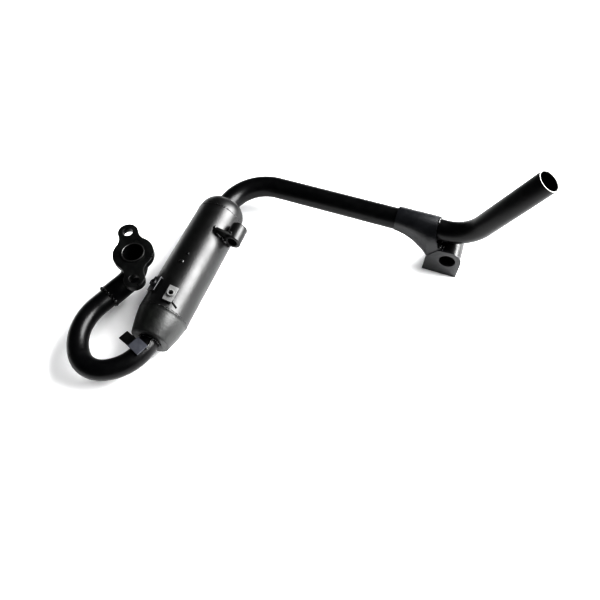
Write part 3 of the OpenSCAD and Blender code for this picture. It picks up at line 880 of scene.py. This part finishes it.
def make_tail_welds():
    dice = random.Random(41)
    bush = middle("tail_bush")
    first = low("tail_bush_weld").y
    last = high("tail_bush_weld").y
    spots = []
    for across, lift, small, big, skip in FILLER_ROWS:
        for i in range(skip, FILLER_COUNT):
            y = first + 1.5 * MM + (last - first - 4 * MM) * i / (FILLER_COUNT - 1)
            point = Vector((bush.x + across * MM, y, bush.z + lift * MM))
            spots.append((point, dice.uniform(small, big) * MM))
    lumps("bush_beads", spots, WELD_ENAMEL, "painted_weld", "tail_bush_weld")
    edge = low("tail_bracket_weld").x + 0.9 * MM
    centre = TAIL_CORNER + TAIL_DIR * ((edge - TAIL_CORNER.x) / TAIL_DIR.x)
    along = Vector((0, 1, 0))
    across = (along - TAIL_DIR * along.dot(TAIL_DIR)).normalized()
    spots = bead_spots(centre, TAIL_DIR, TAIL_R + 0.7 * MM, 1.35 * MM, 13, 43, (42, 100), across)
    lumps("saddle_beads", spots, WELD_ENAMEL, "painted_weld", "tail_bracket_weld")


# ---------------------------------------------------------------- floor, camera and lights

FLOOR_HALF = 4.0
CAMERA_AT = (255.6 * MM, -240.2 * MM, 421.0 * MM)
CAMERA_TURN = (math.radians(32), 0, math.radians(20))
CAMERA_LENS = 33.6
SENSOR_WIDTH = 36
LIGHT_AIM = (0.15, 0.05, 0.0)
WINDOW_AT = (1.3, 0.85, 0.95)
CEILING_AT = (0.2, 0.2, 1.9)
ROOM_COLOUR = (0.93, 0.96, 1.0, 1)
ROOM_STRENGTH = 0.03
CONTRAST_GAMMA = 0.7


def make_floor():
    mesh = bpy.data.meshes.new("floor")
    low_end, high_end = -FLOOR_HALF, FLOOR_HALF
    mesh.from_pydata(
        [
            (low_end, low_end, GROUND_Z), (high_end, low_end, GROUND_Z),
            (high_end, high_end, GROUND_Z), (low_end, high_end, GROUND_Z),
        ],
        [], [(0, 1, 2, 3)],
    )
    floor = bpy.data.objects.new("floor", mesh)
    bpy.context.scene.collection.objects.link(floor)
    material, w, shader = blank_material("floor_paper")
    place = w.node("ShaderNodeTexCoord").outputs["Object"]
    cloud = w.spread(w.noise(place, 5.0), 0.3, 0.7, 0.0, 1.0)
    paper = w.blend(cloud, (0.86, 0.865, 0.87, 1), (0.9, 0.9, 0.9, 1))
    w.feed(paper, shader.inputs["Base Color"])
    shader.inputs["Roughness"].default_value = 0.6
    mesh.materials.append(material)


def make_camera():
    data = bpy.data.cameras.new("camera")
    data.sensor_width = SENSOR_WIDTH
    data.lens = CAMERA_LENS
    data.clip_start = 0.01
    camera = bpy.data.objects.new("camera", data)
    bpy.context.scene.collection.objects.link(camera)
    camera.location = CAMERA_AT
    camera.rotation_euler = CAMERA_TURN
    bpy.context.scene.camera = camera


def make_light(name, place, size, watts, mirrored=True):
    """A rectangular light that faces the part; mirrored ones show in glossy paint."""
    data = bpy.data.lights.new(name, "AREA")
    data.shape = "RECTANGLE"
    data.size, data.size_y = size
    data.energy = watts
    light = bpy.data.objects.new(name, data)
    light.visible_glossy = mirrored
    bpy.context.scene.collection.objects.link(light)
    light.location = place
    back = Vector(place) - Vector(LIGHT_AIM)
    light.rotation_euler = back.to_track_quat("Z", "Y").to_euler()


def make_lights():
    make_light("window", WINDOW_AT, (1.6, 1.3), 175)
    make_light("ceiling", CEILING_AT, (2.4, 2.4), 52, mirrored=False)


def make_room():
    """A nearly dark room, shown with firm contrast."""
    world = bpy.data.worlds.new("room")
    world.use_nodes = True
    shade = world.node_tree.nodes["Background"]
    shade.inputs["Color"].default_value = ROOM_COLOUR
    shade.inputs["Strength"].default_value = ROOM_STRENGTH
    bpy.context.scene.world = world
    view = bpy.context.scene.view_settings
    view.view_transform = "Standard"
    view.gamma = CONTRAST_GAMMA


make_flange()
make_port_elbow()
make_port_welds()
make_header()
make_socket_weld()
make_inlet_cone()
make_barrel()
make_outlet_dome()
make_end_plates()
make_silencer_welds()
make_plug_welds()
make_shield_tabs()
make_core()
make_shield_wire()
make_cross_tab()
make_side_bush()
make_tail_pipe()
make_tail_bracket()
make_tail_welds()
make_floor()
make_camera()
make_lights()
make_room()
